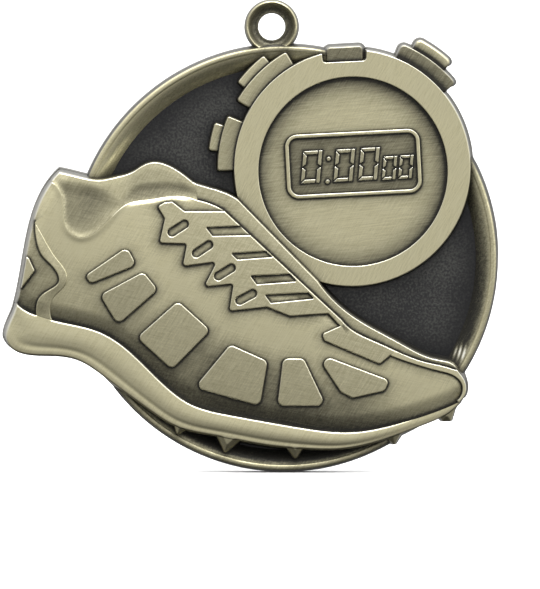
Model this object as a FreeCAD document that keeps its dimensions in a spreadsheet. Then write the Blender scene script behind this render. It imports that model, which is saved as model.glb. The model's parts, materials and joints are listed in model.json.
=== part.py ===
import FreeCAD, Part
import math
import os

# Sports finisher medal: a round dished plaque with a raised rim, a loop for the
# neck ribbon, a stopwatch in relief and a spiked running shoe in relief across it.
#
# Frame: millimetres. The medal stands upright. +X is the viewer's right, +Z is up
# towards the ribbon loop, and the front faces -Y. The origin is the centre of the
# round plaque on its flat back, so the back is the plane Y = 0 and a height above
# the back is measured along -Y.
#
# Every relief piece stands on one backing plate that has the medal's whole
# silhouette. The shoe's pieces are cut from one block by shared parting lines, so
# that neighbours meet face to face and never overlap.

OUT = "parts"
VECTOR = FreeCAD.Vector
SLAB = 120            # wider than the medal
ARCH_LENGTH = 140     # longer than the shoe

doc = FreeCAD.newDocument("FinisherMedal")

# ---------------------------------------------------------------- driving sizes

SIZES = [
    ("draft_angle", 10),        # lean of every cast wall
    ("plate_height", 1.5),      # back to the dark field
    ("disc_radius", 28.5),      # plaque at its back edge
    ("rim_height", 3.0),        # back to the rim's crest
    ("rim_crest", 27.8),        # radius of the crest line
    ("rim_bead", 27.2),         # inner edge of the narrow bead
    ("rim_foot", 25.2),         # where the hollow wall meets the field
    ("bead_drop", 0.15),        # crest to the bead's inner edge
    ("loop_across", -1.65),
    ("loop_up", 30.55),
    ("loop_radius", 3.63),
    ("loop_crest", 3.2),
    ("loop_hole", 1.77),
    ("loop_height", 2.4),
    ("loop_bore", 1.2),         # straight part of the hole
    ("case_height", 3.4),
    ("case_radius", 15.52),
    ("case_across", 8.95),
    ("case_up", 11.95),
    ("dial_height", 2.8),
    ("dial_radius", 12.45),
    ("dial_across", 9.05),
    ("dial_up", 11.5),
    ("watch_tilt", 3),
    ("frame_relief", 0.35),
    ("frame_wide", 17.7),
    ("frame_tall", 8.4),
    ("frame_band", 0.46),
    ("frame_corner", 1.6),
    ("frame_across", 9.1),
    ("frame_up", 12.5),
    ("digit_relief", 0.3),
    ("stroke", 0.44),           # width of one bar of a digit
    ("small_stroke", 0.36),     # of one of the two small digits
    ("bar_gap", 0.15),          # between neighbouring bars
    ("crown_height", 3.2),
    ("left_height", 3.2),       # the two left buttons
    ("right_height", 2.8),      # the right button lies lower
    ("cap_drop", 0.2),          # a cap stands this much below its collar
    ("shoe_height", 4.8),       # crown of the upper
    ("shoe_across", -9.0),      # a point on the crown line
    ("shoe_up", -5.2),
    ("shoe_slope", -21),        # direction of the crown line
    ("shoe_dome", 110),          # radius of the upper's crosswise arch
    ("shoe_front", 4.0),        # height at which the shoe's outline is drawn
    ("shoe_block", 5.8),        # the uncut block, higher than any of its pieces
    ("sole_height", 4.4),
    ("overlay_relief", 0.35),   # lace panel, toe guard, side pads, heel strap
    ("band_drop", 0.25),        # far side of the shoe, below the upper
    ("collar_drop", 0.6),       # padded ankle opening, below the upper
    ("spike_height", 4.1),
]

sheet = doc.addObject("Spreadsheet::Sheet", "Sizes")
for row, (alias, value) in enumerate(SIZES, start=1):
    sheet.set(f"A{row}", alias)
    sheet.set(f"B{row}", str(value))
    sheet.setAlias(f"B{row}", alias)
doc.recompute()


def size(alias):
    """The value of one cell of the sheet."""
    return float(sheet.get(alias))


# ------------------------------------------------------------------ 2-D drawing

def straight(*points):
    """Line segments through the points."""
    corners = [VECTOR(x, z, 0) for x, z in points]
    return [Part.LineSegment(a, b) for a, b in zip(corners, corners[1:])]


def smooth(*points):
    """One curve through the points."""
    curve = Part.BSplineCurve()
    curve.interpolate([VECTOR(x, z, 0) for x, z in points])
    return [curve]


def bend(start, middle, end):
    """One arc through three points."""
    return [Part.Arc(VECTOR(*start, 0), VECTOR(*middle, 0), VECTOR(*end, 0))]


def circle(centre, radius):
    """A full circle."""
    return [Part.Circle(VECTOR(*centre, 0), VECTOR(0, 0, 1), radius)]


def rounded(points, radius):
    """A closed polygon whose corners are arcs, smaller where a side is short."""
    corners = [VECTOR(x, z, 0) for x, z in points]
    count = len(corners)
    arcs = []
    for index, corner in enumerate(corners):
        before = corners[index - 1] - corner
        after = corners[(index + 1) % count] - corner
        half = before.getAngle(after) / 2
        reach = min(radius / math.tan(half), 0.45 * before.Length, 0.45 * after.Length)
        before.normalize()
        after.normalize()
        inward = (before + after).normalize()
        fitted = reach * math.tan(half)
        middle = corner + inward * (fitted / math.sin(half) - fitted)
        arcs.append(Part.Arc(corner + before * reach, middle, corner + after * reach))
    edges = []
    for arc, following in zip(arcs, arcs[1:] + arcs[:1]):
        edges.append(arc)
        edges.append(Part.LineSegment(arc.EndPoint, following.StartPoint))
    return edges


def placed(points, centre, angle):
    """Points given about a centre, turned by an angle in degrees and moved there."""
    cosine = math.cos(math.radians(angle))
    sine = math.sin(math.radians(angle))
    return [(centre[0] + x * cosine - z * sine, centre[1] + x * sine + z * cosine)
            for x, z in points]


def rectangle(wide, tall):
    """Corners of a rectangle about its centre."""
    x = wide / 2
    z = tall / 2
    return [(-x, -z), (x, -z), (x, z), (-x, z)]


CASE = (size("case_across"), size("case_up"))


def sector(inner, outer, start_angle, end_angle, corner):
    """A block between two arcs about the stopwatch's centre, its outer corners rounded."""
    middle = (start_angle + end_angle) / 2
    turn = math.degrees(corner / outer)
    inset = corner * (1 - math.sqrt(0.5))
    skew = math.degrees(inset / outer)

    def point(radius, angle):
        turned_by = math.radians(angle)
        return (CASE[0] + radius * math.cos(turned_by), CASE[1] + radius * math.sin(turned_by))

    return (bend(point(inner, start_angle), point(inner, middle), point(inner, end_angle))
            + straight(point(inner, end_angle), point(outer - corner, end_angle))
            + bend(point(outer - corner, end_angle), point(outer - inset, end_angle - skew),
                   point(outer, end_angle - turn))
            + bend(point(outer, end_angle - turn), point(outer, middle),
                   point(outer, start_angle + turn))
            + bend(point(outer, start_angle + turn), point(outer - inset, start_angle + skew),
                   point(outer - corner, start_angle))
            + straight(point(outer - corner, start_angle), point(inner, start_angle)))


# ------------------------------------------------------------- features in 3-D

def origin_plane(body, role):
    """One of the body's own origin planes."""
    return next(item for item in body.Origin.OriginFeatures if item.Role == role)


def sketched_body(label, loops, height):
    """A body with one sketch parallel to the back, at a height given as an expression."""
    body = doc.addObject("PartDesign::Body", label)
    sketch = body.newObject("Sketcher::SketchObject", label + "_outline")
    sketch.AttachmentSupport = [(origin_plane(body, "XZ_Plane"), "")]
    sketch.MapMode = "FlatFace"
    sketch.setExpression(".AttachmentOffset.Base.z", height)
    for edges in loops:
        for edge in edges:
            sketch.addGeometry(edge)
    pad = body.newObject("PartDesign::Pad", label + "_pad")
    pad.Profile = sketch
    return body, pad


def block(label, loops, height, drafted=False):
    """A block from its front outline down to the back, with plain or leaning walls."""
    body, pad = sketched_body(label, loops, height)
    pad.Reversed = True
    pad.setExpression("Length", height)
    if drafted:
        pad.setExpression("TaperAngle", "Sizes.draft_angle")
    return body


def raised(label, loops, start, relief):
    """A straight-walled piece that starts at one height and rises by its relief."""
    body, pad = sketched_body(label, loops, start)
    pad.setExpression("Length", relief)
    return body


def turned(label, edges, across, up):
    """A solid of revolution about an axis along Y. Edges are drawn as (radius, -height)."""
    body = doc.addObject("PartDesign::Body", label)
    sketch = body.newObject("Sketcher::SketchObject", label + "_section")
    sketch.AttachmentSupport = [(origin_plane(body, "XY_Plane"), "")]
    sketch.MapMode = "FlatFace"
    for edge in edges:
        sketch.addGeometry(edge)
    turn = body.newObject("PartDesign::Revolution", label + "_turn")
    turn.Profile = sketch
    turn.ReferenceAxis = (sketch, ["V_Axis"])
    turn.Angle = 360
    body.setExpression("Placement.Base.x", across)
    body.setExpression("Placement.Base.z", up)
    return body


def common(label, *shapes):
    """What all the shapes share."""
    result = doc.addObject("Part::MultiCommon", label)
    result.Shapes = list(shapes)
    return result


def fuse(label, *shapes):
    """All the shapes as one solid."""
    result = doc.addObject("Part::MultiFuse", label)
    result.Shapes = list(shapes)
    return result


def cut(label, base, *tools):
    """The base without the tools."""
    result = base
    for index, tool in enumerate(tools, start=1):
        step = doc.addObject("Part::Cut", f"{label}_cut{index}")
        step.Base = result
        step.Tool = tool
        result = step
    return result


def slab(label, start, thickness):
    """A wide slab parallel to the back, from one height up through its thickness."""
    box = doc.addObject("Part::Box", label)
    box.Length = SLAB
    box.Height = SLAB
    box.setExpression("Width", thickness)
    box.Placement.Base = VECTOR(-SLAB / 2, 0, -SLAB / 2)
    box.setExpression(".Placement.Base.y", f"-({start}) - ({thickness})")
    return box


def arch(label, rise):
    """A long cylinder along the crown line: the shoe's crosswise arch, raised a step."""
    slope = math.radians(size("shoe_slope"))
    along = VECTOR(math.cos(slope), 0, math.sin(slope))
    cylinder = doc.addObject("Part::Cylinder", label)
    cylinder.Height = ARCH_LENGTH
    cylinder.setExpression("Radius", f"Sizes.shoe_dome + ({rise})")
    start = VECTOR(size("shoe_across"), 0, size("shoe_up")) - along * (ARCH_LENGTH / 2)
    cylinder.Placement = FreeCAD.Placement(start, FreeCAD.Rotation(VECTOR(0, 0, 1), along))
    cylinder.setExpression(".Placement.Base.y", "Sizes.shoe_dome - Sizes.shoe_height")
    return cylinder


NODES = []


def keep(node, shape):
    """Mark a shape as one finished piece of the medal."""
    shape.Label = node
    NODES.append(shape)


plate_slab = slab("plate_slab", "0", "Sizes.plate_height")
relief_slab = slab("relief_slab", "Sizes.plate_height", "10")

# ------------------------------------------------------------------ round plaque


def disc_blank():
    """The plaque's whole round block, narrower at the rim's crest than at the back."""
    cone = doc.addObject("Part::Cone", "disc_blank")
    cone.setExpression("Radius1", "Sizes.disc_radius")
    cone.setExpression("Radius2", "Sizes.rim_crest")
    cone.setExpression("Height", "Sizes.rim_height")
    cone.Placement.Rotation = FreeCAD.Rotation(VECTOR(0, 0, 1), VECTOR(0, -1, 0))
    return cone


def rim_ring():
    """The rim's section: leaning outer wall, narrow bead and hollow inner wall."""
    field = size("plate_height")
    crest = (size("rim_crest"), -size("rim_height"))
    bead = (size("rim_bead"), -size("rim_height") + size("bead_drop"))
    foot = (size("rim_foot"), -field)
    hollow = ((bead[0] + foot[0]) / 2 - 0.25, (bead[1] + foot[1]) / 2 + 0.25)
    lean = (size("disc_radius") - size("rim_crest")) / size("rim_height")
    outside = (size("disc_radius") - lean * field, -field)
    edges = straight(foot, outside, crest, bead) + bend(bead, hollow, foot)
    return turned("rim_ring", edges, "0", "0")


def loop_ring():
    """The ribbon loop's section: leaning outside, crest, funnel and straight bore."""
    lean = math.tan(math.radians(size("draft_angle"))) * size("loop_height")
    edges = straight(
        (size("loop_hole"), 0),
        (size("loop_radius"), 0),
        (size("loop_radius") - lean, -size("loop_height")),
        (size("loop_crest") - lean, -size("loop_height")),
        (size("loop_hole"), -size("loop_bore")),
        (size("loop_hole"), 0),
    )
    return turned("loop_ring", edges, "Sizes.loop_across", "Sizes.loop_up")


# -------------------------------------------------------------------- stopwatch

CAP_LEFT = "(Sizes.left_height - Sizes.cap_drop)"
CAP_RIGHT = "(Sizes.right_height - Sizes.cap_drop)"
CASE_RADIUS = size("case_radius")

# node: inner radius, outer radius, start angle, end angle, corner radius, height
BUTTONS = {
    "left_button_collar": (CASE_RADIUS, 17.7, 157.3, 181.0, 0.3, "Sizes.left_height"),
    "left_button_cap": (17.7, 19.0, 161.8, 172.8, 0.3, CAP_LEFT),
    "upper_left_button_collar": (CASE_RADIUS, 17.55, 119.8, 149.5, 0.3, "Sizes.left_height"),
    "upper_left_button_cap": (17.55, 18.8, 128.3, 143.2, 0.3, CAP_LEFT),
    "right_button_collar": (CASE_RADIUS, 17.55, 39.4, 68.2, 0.6, "Sizes.right_height"),
    "right_button_cap": (17.55, 19.1, 46.8, 63.0, 0.7, CAP_RIGHT),
}

# the crown's block and the notch in the case that it sits in, about the case's centre
CROWN = [(-2.55, 14.0), (2.1, 14.0), (2.1, 15.95), (-2.55, 15.95)]
CROWN_NOTCH = [(-3.15, 14.0), (2.55, 14.0), (2.9, 17.5), (-3.4, 17.5)]
CROWN_CORNER = 0.45


def digit(centre, wide, tall, stroke):
    """Six separate bars that make a nought on a seven-bar display, leaning right."""
    lean = math.tan(math.radians(8))
    gap = size("bar_gap")
    corner_gap = 1.4 * gap
    middle_slant = 0.7 * stroke
    x = wide / 2
    z = tall / 2
    inner = stroke - x
    end = x - stroke - gap
    bars = []
    for side in (-1, 1):
        bars.append([(-x, side * z), (end, side * z), (end, side * (z - stroke)),
                     (inner, side * (z - stroke))])
        bars.append([(-x, side * (z - corner_gap)), (-x, side * gap / 2),
                     (inner, side * (gap / 2 + middle_slant)),
                     (inner, side * (z - stroke - corner_gap))])
        bars.append([(x - stroke, side * z), (x, side * z), (x, side * gap / 2),
                     (x - stroke, side * (gap / 2 + middle_slant))])
    for bar in bars:
        leaning = [(px + pz * lean, pz) for px, pz in bar]
        corners = placed(leaning, centre, size("watch_tilt"))
        yield straight(*corners, corners[0])


def display_loops():
    """The bars and dots of a zeroed time display."""
    for centre in [(3.6, 12.1), (7.9, 12.3), (11.15, 12.5)]:
        yield from digit(centre, 2.45, 4.2, size("stroke"))
    for centre in [(13.85, 11.95), (16.0, 12.1)]:
        yield from digit(centre, 1.75, 3.05, size("small_stroke"))
    for centre in [(5.85, 13.15), (5.7, 10.15)]:
        yield circle(centre, 0.26)


def build_stopwatch(blanks):
    """The case, dial, display, crown and buttons. Their full blocks join the blanks."""
    case_blank = block("case_blank", [circle(CASE, size("case_radius"))],
                       "Sizes.case_height", drafted=True)
    blanks.append(case_blank)
    notch = block("crown_notch", [rounded(placed(CROWN_NOTCH, CASE, size("watch_tilt")),
                                          CROWN_CORNER)], "Sizes.case_height + 1")
    recess = doc.addObject("Part::Cylinder", "dial_recess")
    recess.setExpression("Radius", "Sizes.dial_radius")
    recess.Height = 10
    recess.Placement.Rotation = FreeCAD.Rotation(VECTOR(0, 0, 1), VECTOR(0, -1, 0))
    recess.setExpression(".Placement.Base.x", "Sizes.dial_across")
    recess.setExpression(".Placement.Base.z", "Sizes.dial_up")
    case = common("case_relief", case_blank, relief_slab)
    keep("stopwatch_case", cut("stopwatch_case", case, recess, notch))

    dial_slab = slab("dial_slab", "Sizes.plate_height",
                     "Sizes.dial_height - Sizes.plate_height")
    keep("stopwatch_dial", common("stopwatch_dial", recess, dial_slab))

    frame_centre = (size("frame_across"), size("frame_up"))
    wide = size("frame_wide")
    tall = size("frame_tall")
    band = size("frame_band")
    corner = size("frame_corner")
    outer = placed(rectangle(wide, tall), frame_centre, size("watch_tilt"))
    inner = placed(rectangle(wide - 2 * band, tall - 2 * band), frame_centre,
                   size("watch_tilt"))
    keep("display_frame", raised("display_frame",
                                 [rounded(outer, corner), rounded(inner, corner - band)],
                                 "Sizes.dial_height", "Sizes.frame_relief"))
    keep("display_digits", raised("display_digits", list(display_loops()),
                                  "Sizes.dial_height", "Sizes.digit_relief"))

    crown_corners = placed(CROWN, CASE, size("watch_tilt"))
    crown_blank = block("crown_blank", [rounded(crown_corners, CROWN_CORNER)],
                        "Sizes.crown_height", drafted=True)
    blanks.append(crown_blank)
    crown = common("crown_relief", crown_blank, relief_slab, notch)
    keep("stopwatch_crown", crown)

    neighbours = [case_blank]
    for node, (inner_radius, outer_radius, start, end, corner, height) in BUTTONS.items():
        outline = sector(inner_radius - 0.5, outer_radius, start, end, corner)
        blank = block(node + "_blank", [outline], height, drafted=True)
        blanks.append(blank)
        relief = common(node + "_relief", blank, relief_slab)
        keep(node, cut(node, relief, *neighbours))
        neighbours = [case_blank, blank] if node.endswith("collar") else [case_blank]


# ----------------------------------------------------------------- running shoe

# three points of the outline where a parting line ends or starts, as (x, z)
HEEL_TOP = (-29.5, 11.35)
TONGUE_END = (-12.05, 10.0)
TOE_END = (23.35, -18.65)

# The outline's stretches, clockwise. Each ends where the next one starts.
SHOE_OUTLINE = [
    [HEEL_TOP, (-26.95, 10.75), (-24.05, 10.35), (-21.95, 10.75), (-19.95, 11.35),
     (-18.35, 12.3), (-17.05, 12.6), (-15.75, 12.35), (-13.75, 11.3), TONGUE_END],
    [TONGUE_END, (-10.45, 9.5), (-8.45, 8.9), (-6.1, 7.75)],
    [(-6.1, 7.75), (4.35, -2.8)],
    [(4.35, -2.8), (8.7, -7.2), (15.3, -11.0), (20.55, -13.2), (22.1, -13.55),
     (22.9, -14.5), (23.75, -15.65), (24.1, -16.95), TOE_END],
    [TOE_END, (22.4, -19.8), (20.55, -21.0), (17.9, -22.1), (13.3, -23.8),
     (7.35, -25.1), (3.4, -25.1), (-2.95, -24.5), (-8.75, -23.4), (-14.5, -22.0),
     (-17.7, -20.0), (-23.65, -15.6), (-27.2, -13.35), (-28.95, -12.9),
     (-34.0, -12.6), (-35.9, -11.8), (-36.6, -10.5), (-36.3, -8.75), (-35.2, -5.85)],
    [(-35.2, -5.85), (-34.3, -1.5), (-33.4, 3.4), (-31.7, 8.4), HEEL_TOP],
]

# parting lines, each from one end to the other
WELT = smooth((-36.5, -4.6), (-35.2, -5.85), (-34.2, -6.65), (-32.1, -7.55),
              (-29.6, -8.25), (-24.3, -9.6), (-22.4, -10.6), (-17.7, -14.7),
              (-14.4, -17.75), (-12.7, -18.9), (-7.15, -20.55), (2.1, -22.2),
              (8.7, -22.8), (15.3, -21.6), TOE_END, (24.6, -18.0))
CREASE = straight((-11.9, 11.0), (-11.4, 7.75))
SEAM = smooth((-11.4, 7.75), (-15.05, 8.25), (-17.7, 7.85), (-20.35, 7.4), (-24.3, 3.9),
              (-26.95, 2.85), (-28.4, 3.8), (-28.95, 5.75), (-29.25, 8.4), (-30.3, 10.0),
              (-32.0, 11.0))
RIDGE = (smooth((-11.4, 7.75), (-9.8, 7.3), (-7.95, 6.4))
         + straight((-7.95, 6.4), (7.5, -7.95))
         + smooth((7.5, -7.95), (8.7, -9.15), (12.0, -10.85), (18.6, -13.55),
                  (21.2, -14.15), (23.0, -14.65), (24.5, -14.7)))

LACE_PANEL = [(-16.6, 6.95), (-15.7, 7.45), (-14.7, 7.55), (-13.1, 6.3), (-7.8, 6.3),
              (9.5, -7.95), (8.2, -10.0), (7.35, -8.75), (5.8, -7.1), (0.75, -7.45),
              (-2.25, -6.25), (-7.2, -6.8), (-6.65, -3.2), (-10.5, -3.6), (-8.85, -0.3),
              (-13.3, -0.9), (-12.75, 2.05), (-16.35, 2.15), (-15.65, 5.35)]
EYELETS = [((-14.75, 3.55), (-13.1, 4.6)), ((-11.55, 0.8), (-9.9, 1.9)),
           ((-8.65, -2.2), (-6.95, -1.15)), ((-5.85, -5.4), (-4.15, -4.5))]
EYELET_RADIUS = 0.58
LACE_WINDOWS = [
    [(-10.3, 4.2), (-5.75, 4.4), (-4.15, 3.15), (-9.4, 3.05)],
    [(-7.0, 0.8), (-2.25, 1.1), (-1.4, 0.3), (-6.15, -0.05)],
    [(-4.45, -2.15), (0.75, -1.9), (1.65, -2.9), (-3.6, -3.3)],
    [(-2.55, -4.65), (3.15, -4.35), (3.95, -5.15), (-1.75, -5.75)],
]
TOE_PATCH = [(7.35, -8.75), (5.0, -9.8), (5.3, -10.7), (12.55, -13.75), (13.95, -12.6),
             (16.0, -11.0), (9.0, -6.0)]
TOE_GUARD = [(13.95, -12.6), (16.5, -13.55), (20.5, -14.7), (22.4, -15.35), (23.35, -16.4),
             (23.45, -17.3), (22.75, -18.55)]
TOE_CORNERS = [(23.5, -19.5), (27, -19.5), (27, -10), (17.28, -10)]  # clear of the toe
SIDE_PADS = [
    [(-26.1, -2.15), (-20.65, 1.6), (-19.4, -0.75), (-25.45, -3.2)],
    [(-24.2, -4.7), (-18.5, -1.65), (-16.6, -4.0), (-21.85, -8.6)],
    [(-19.35, -10.3), (-13.95, -5.5), (-9.7, -9.35), (-14.75, -14.5)],
    [(-11.8, -16.9), (-7.1, -11.2), (-2.2, -13.4), (-3.2, -19.3)],
    [(-0.15, -13.05), (2.55, -13.05), (5.5, -19.3), (-0.9, -19.3)],
    [(4.0, -12.2), (13.8, -15.9), (13.2, -17.3), (9.0, -18.25), (7.45, -17.45)],
]
PAD_CORNER = 0.8
STRAP_LEFT = smooth((-32.75, 5.0), (-32.5, 2.45), (-31.85, 0.6), (-29.9, -1.65),
                    (-29.6, -2.9), (-30.8, -4.0), (-32.2, -5.1), (-32.55, -6.1), (-31.9, -9.0))
STRAP_RIGHT = smooth((-29.0, -9.5), (-30.75, -6.75), (-30.25, -5.05), (-28.7, -3.3),
                     (-28.5, -2.2), (-29.85, 0.1), (-31.85, 3.4), (-32.75, 5.0))
HEEL_PATCH = [(-34.8, 1.0), (-33.5, 0.1), (-32.75, -1.5), (-34.6, -3.9), (-36.4, -2.5)]
# corners of each spike, the two at its foot inside the sole
SPIKES = [
    [(-14.6, -21.4), (-14.1, -23.2), (-12.8, -22.4), (-12.2, -21.4)],
    [(-9.2, -22.6), (-7.8, -25.6), (-5.7, -23.8), (-5.5, -22.8)],
    [(-0.2, -24.2), (1.5, -26.4), (2.9, -24.2)],
    [(13.1, -23.2), (14.55, -24.6), (15.6, -22.5)],
    [(20.2, -20.4), (20.9, -21.4), (22.0, -21.4), (22.6, -19.4)],
]
SPIKE_CORNER = 0.2


def capsule(start, end, radius):
    """A slot with round ends."""
    along = (VECTOR(*end, 0) - VECTOR(*start, 0)).normalize()
    side = VECTOR(-along.y, along.x, 0) * radius
    first = VECTOR(*start, 0)
    last = VECTOR(*end, 0)
    return [
        Part.LineSegment(first - side, last - side),
        Part.Arc(last - side, last + along * radius, last + side),
        Part.LineSegment(last + side, first + side),
        Part.Arc(first + side, first - along * radius, first - side),
    ]


def let_out(stretches, spread):
    """A clockwise outline moved outwards at every point by the same distance."""
    ring = [point for stretch in stretches for point in stretch[:-1]]
    moved = {}
    for index, here in enumerate(ring):
        before = VECTOR(*here, 0) - VECTOR(*ring[index - 1], 0)
        after = VECTOR(*ring[(index + 1) % len(ring)], 0) - VECTOR(*here, 0)
        before.normalize()
        after.normalize()
        half_turn = before.getAngle(after) / 2
        along = (before + after).normalize()
        outward = VECTOR(-along.y, along.x, 0) * (spread / math.cos(half_turn))
        moved[here] = (here[0] + outward.x, here[1] + outward.y)
    return [[moved[point] for point in stretch] for stretch in stretches]


def shoe_block():
    """The shoe's whole block, its walls leaning out from the front to the back."""
    lean = math.tan(math.radians(size("draft_angle")))
    body = doc.addObject("PartDesign::Body", "shoe_blank")
    sketches = []
    for name, height, level in (("shoe_back", "0", 0),
                                ("shoe_top", "Sizes.shoe_block", size("shoe_block"))):
        spread = (size("shoe_front") - level) * lean
        sketch = body.newObject("Sketcher::SketchObject", name)
        sketch.AttachmentSupport = [(origin_plane(body, "XZ_Plane"), "")]
        sketch.MapMode = "FlatFace"
        sketch.setExpression(".AttachmentOffset.Base.z", height)
        for stretch in let_out(SHOE_OUTLINE, spread):
            for edge in smooth(*stretch):
                sketch.addGeometry(edge)
        sketches.append(sketch)
    loft = body.newObject("PartDesign::AdditiveLoft", "shoe_loft")
    loft.Profile = sketches[0]
    loft.Sections = [sketches[1]]
    loft.Ruled = True
    return body


def build_shoe(blanks):
    """The shoe's pieces, cut from one block by the parting lines."""
    tall = "Sizes.shoe_block"
    shoe_blank = shoe_block()
    blanks.append(shoe_blank)
    below_welt = block("below_welt", [
        WELT + straight((24.6, -18.0), (40, -18), (40, -45), (-50, -45), (-50, -4.6),
                        (-36.5, -4.6))], tall)
    above_seam = block("above_seam", [
        CREASE + SEAM + straight((-32.0, 11.0), (-32.0, 20.0), (-11.9, 20.0),
                                 (-11.9, 11.0))], tall)
    beyond_ridge = block("beyond_ridge", [
        CREASE + RIDGE + straight((24.5, -14.7), (40, -14.7), (40, 20), (-11.9, 20),
                                  (-11.9, 11.0))], tall)

    shoe = common("shoe_relief", shoe_blank, relief_slab)
    surface = arch("upper_surface", "0")
    overlay_surface = arch("overlay_surface", "Sizes.overlay_relief")
    band_surface = arch("band_surface", "-Sizes.band_drop")
    collar_surface = arch("collar_surface", "-Sizes.collar_drop")
    sole_slab = slab("sole_slab", "Sizes.plate_height",
                     "Sizes.sole_height - Sizes.plate_height")

    upper = common("upper_block", shoe, surface)
    keep("shoe_upper", cut("shoe_upper", upper, below_welt, above_seam, beyond_ridge))
    keep("ankle_collar", common("ankle_collar_piece", shoe, above_seam, collar_surface))
    keep("far_side_band", common("far_side_band_piece", shoe, beyond_ridge, band_surface))
    keep("shoe_sole", common("shoe_sole_piece", shoe, below_welt, sole_slab))

    def overlay(node, loops):
        """A thin piece that lies on the upper and follows its arch."""
        outline = block(node + "_outline_block", loops, tall)
        sheet_block = common(node + "_sheet", outline, shoe, overlay_surface)
        keep(node, cut(node, sheet_block, surface, below_welt, beyond_ridge))

    windows = [rounded(window, 0.12) for window in LACE_WINDOWS]
    eyelets = [capsule(start, end, EYELET_RADIUS) for start, end in EYELETS]
    overlay("lace_panel", [rounded(LACE_PANEL, 0.35)] + windows + eyelets)
    overlay("toe_patch", [rounded(TOE_PATCH, 0.4)])
    overlay("toe_guard", [smooth(*TOE_GUARD)
                          + straight(TOE_GUARD[-1], *TOE_CORNERS, TOE_GUARD[0])])
    for number, corners in enumerate(SIDE_PADS, start=1):
        overlay(f"side_pad_{number}", [rounded(corners, PAD_CORNER)])
    overlay("heel_strap", [STRAP_LEFT + straight((-31.9, -9.0), (-29.0, -9.5))
                           + STRAP_RIGHT])
    overlay("heel_patch", [rounded(HEEL_PATCH, 0.3)])

    spike_blocks = []
    for number, corners in enumerate(SPIKES, start=1):
        spike = block(f"spike_{number}", [rounded(corners, SPIKE_CORNER)],
                      "Sizes.spike_height", drafted=True)
        blanks.append(spike)
        spike_blocks.append(spike)
    spikes = common("spike_relief", fuse("spike_blocks", *spike_blocks), relief_slab)
    keep("sole_spikes", cut("sole_spikes", spikes, shoe_blank))


# ------------------------------------------------------------------- assembly

# the rim dies out under the toe, from the fourth spike on
RIM_END = [(14.5, -20.0), (20.0, -20.0), (20.0, -26.0), (14.5, -26.0)]

disc = disc_blank()
blanks = [disc]
build_stopwatch(blanks)
build_shoe(blanks)

silhouette = fuse("silhouette", *blanks)
keep("backing_plate", common("backing_plate_piece", silhouette, plate_slab))
rim_end = block("rim_end", [rounded(RIM_END, 1)], "Sizes.rim_height")
keep("raised_rim", cut("raised_rim", rim_ring(), rim_end, *blanks[1:]))
keep("ribbon_loop", cut("ribbon_loop", loop_ring(), disc))

doc.recompute()

# ------------------------------------------------------------ checks and output

for item in doc.Objects:
    if {"Invalid", "Error"} & set(item.State):
        raise RuntimeError(f"{item.Label} failed to build: {item.State}")
for node in NODES:
    if node.Shape.isNull() or not node.Shape.isValid() or not node.Shape.Solids:
        raise RuntimeError(f"{node.Label} has no valid solid")

os.makedirs(OUT, exist_ok=True)
for node in NODES:
    node.Shape.exportStep(os.path.join(OUT, node.Label + ".step"))
    print(f"{node.Label}: {len(node.Shape.Solids)} solids, {node.Shape.Volume:.1f} mm3")
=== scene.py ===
import json
import math

import bpy
import numpy as np
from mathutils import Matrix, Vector, kdtree
from mathutils.geometry import delaunay_2d_cdt

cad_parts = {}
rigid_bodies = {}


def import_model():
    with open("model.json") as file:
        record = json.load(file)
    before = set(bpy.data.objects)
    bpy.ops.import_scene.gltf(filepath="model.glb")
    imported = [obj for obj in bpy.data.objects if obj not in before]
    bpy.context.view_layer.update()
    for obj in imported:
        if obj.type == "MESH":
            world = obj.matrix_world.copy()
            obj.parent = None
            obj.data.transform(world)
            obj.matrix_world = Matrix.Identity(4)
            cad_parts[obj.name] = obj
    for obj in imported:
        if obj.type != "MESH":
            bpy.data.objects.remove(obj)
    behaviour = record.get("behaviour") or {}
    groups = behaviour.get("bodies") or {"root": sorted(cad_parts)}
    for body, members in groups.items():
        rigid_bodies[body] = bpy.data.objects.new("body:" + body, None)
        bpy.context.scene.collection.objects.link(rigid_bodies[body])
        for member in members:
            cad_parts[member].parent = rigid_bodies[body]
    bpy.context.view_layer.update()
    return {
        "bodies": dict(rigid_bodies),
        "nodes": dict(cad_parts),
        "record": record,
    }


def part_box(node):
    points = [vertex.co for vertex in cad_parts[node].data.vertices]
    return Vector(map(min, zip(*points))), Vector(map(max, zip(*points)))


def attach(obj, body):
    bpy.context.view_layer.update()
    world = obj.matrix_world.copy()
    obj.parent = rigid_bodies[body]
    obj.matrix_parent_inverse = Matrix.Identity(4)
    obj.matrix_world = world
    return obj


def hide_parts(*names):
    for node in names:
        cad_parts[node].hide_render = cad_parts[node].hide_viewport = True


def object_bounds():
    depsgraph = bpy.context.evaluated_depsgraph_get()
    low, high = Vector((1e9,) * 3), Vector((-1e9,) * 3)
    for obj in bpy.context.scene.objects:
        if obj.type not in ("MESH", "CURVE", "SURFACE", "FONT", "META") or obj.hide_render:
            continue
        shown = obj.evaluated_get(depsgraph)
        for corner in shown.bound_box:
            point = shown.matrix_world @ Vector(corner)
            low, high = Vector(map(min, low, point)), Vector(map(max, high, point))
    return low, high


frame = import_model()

# The medal's looks. Plan positions are (x, z) in millimetres and a height is the
# distance in front of the back plane, so a point is (x, -height, z). Every outline
# and every main height comes from the imported nodes; this script gives them their
# modelled surfaces, rounded edges, leaning cast walls, patina with painted shade,
# painted edge highlights and brushed finish.

MM = 0.001
NODES = frame["nodes"]
BODY = sorted(frame["bodies"])[0]
TINY = 1e-9                             # keeps a length of nothing from dividing

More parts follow.
